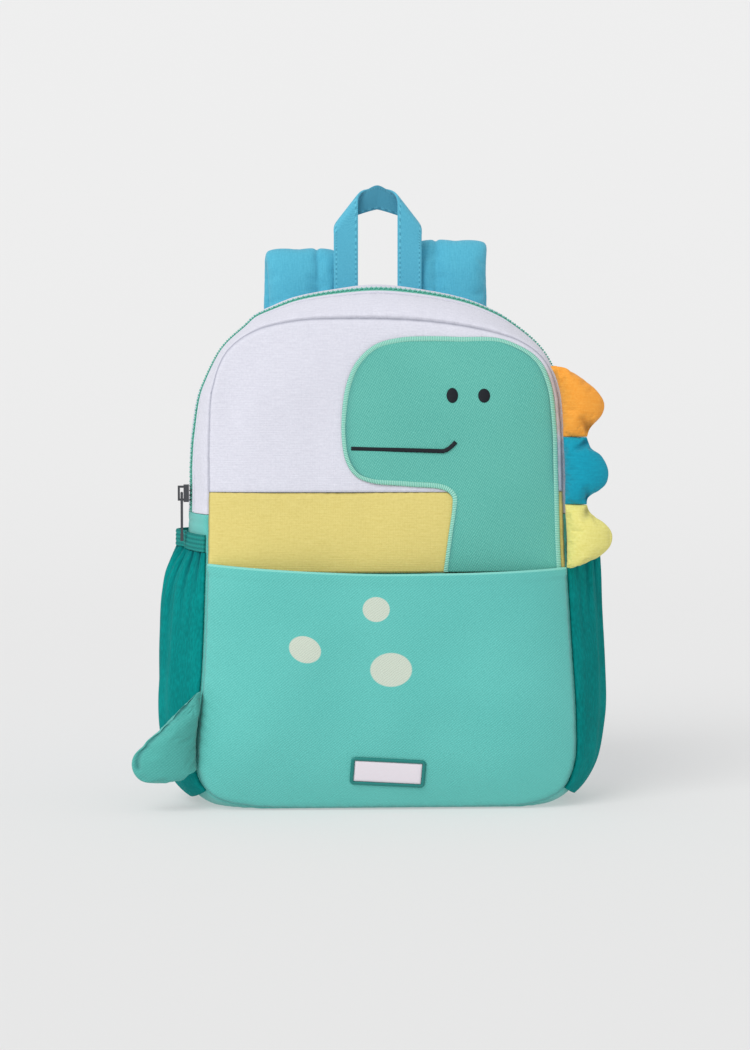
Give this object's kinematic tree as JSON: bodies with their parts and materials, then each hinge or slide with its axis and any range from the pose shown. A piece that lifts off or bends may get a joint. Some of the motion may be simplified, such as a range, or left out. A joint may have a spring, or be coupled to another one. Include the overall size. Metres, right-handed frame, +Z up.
{
  "type": "kids animal backpack",
  "caption": "Small arched backpack with a dinosaur applique, stuffed spikes and tail, front and side pockets, zip, carrying loop and padded straps.",
  "frame": {"origin": "the middle of the flat bottom that the bag stands on, midway between its front and back seams", "axes": "+Z up, the front with the dinosaur faces -Y, the straps and back are at +Y, +X is to the right of someone who looks at the front"},
  "size_m": [0.3033, 0.1636, 0.3973],
  "materials": {
    "white_canvas": "plain canvas, white with a faint lilac cast",
    "yellow_canvas": "plain canvas, pale yellow",
    "mint_twill": "coarse twill, mint",
    "head_twill": "coarse twill, mint, a little deeper than the pocket",
    "satin_edging": "satin stitched edge, light mint",
    "teal_cloth": "thin plain cloth, teal, gathered",
    "strap_blue": "webbing and padded strap cloth, sky blue",
    "dark_thread": "satin stitch, near black",
    "orange_cloth": "stuffed cloth, orange",
    "blue_cloth": "stuffed cloth, blue",
    "pale_yellow_cloth": "stuffed cloth, pale yellow",
    "teal_rubber": "moulded rubber, teal",
    "pale_rubber": "moulded rubber, off white, bare",
    "zip_mint": "nylon coil and woven tape, mint",
    "dark_metal": "dark plated zinc",
    "teal_plastic": "moulded acetal, sky blue"
  },
  "bodies": {
    "bag": {"front_panel_top": "white_canvas", "front_panel_band": "yellow_canvas", "front_panel_lower": "mint_twill", "back_panel": "strap_blue", "gusset_front_band": "white_canvas", "gusset_back_band": "white_canvas", "zip_tape": "zip_mint", "gusset_lower": "mint_twill", "front_pocket": "mint_twill", "dino_head": "head_twill", "dino_edging": "satin_edging", "eye_left": "dark_thread", "eye_right": "dark_thread", "mouth": "dark_thread", "label_frame": "teal_rubber", "label_field": "pale_rubber", "side_pocket_left": "teal_cloth", "side_pocket_right": "teal_cloth", "side_binding_left": "teal_cloth", "side_binding_right": "teal_cloth", "spike_orange": "orange_cloth", "spike_blue": "blue_cloth", "spike_yellow": "pale_yellow_cloth", "tail": "mint_twill", "handle": "strap_blue", "shoulder_strap_left": "strap_blue", "shoulder_strap_right": "strap_blue", "strap_webbing_left": "strap_blue", "strap_webbing_right": "strap_blue", "strap_tab_left": "strap_blue", "strap_tab_right": "strap_blue", "adjuster_left": "teal_plastic", "adjuster_right": "teal_plastic", "zip_slider": "dark_metal"},
    "pull": {"zip_pull": "dark_metal"}
  },
  "joints": [
    {"name": "pull_swing", "type": "hinge", "parent": "bag", "child": "pull", "pos_m": [-0.12864, -0.01377, 0.198], "axis": [0, 1, 0], "range_deg": [0, 150]}
  ]
}
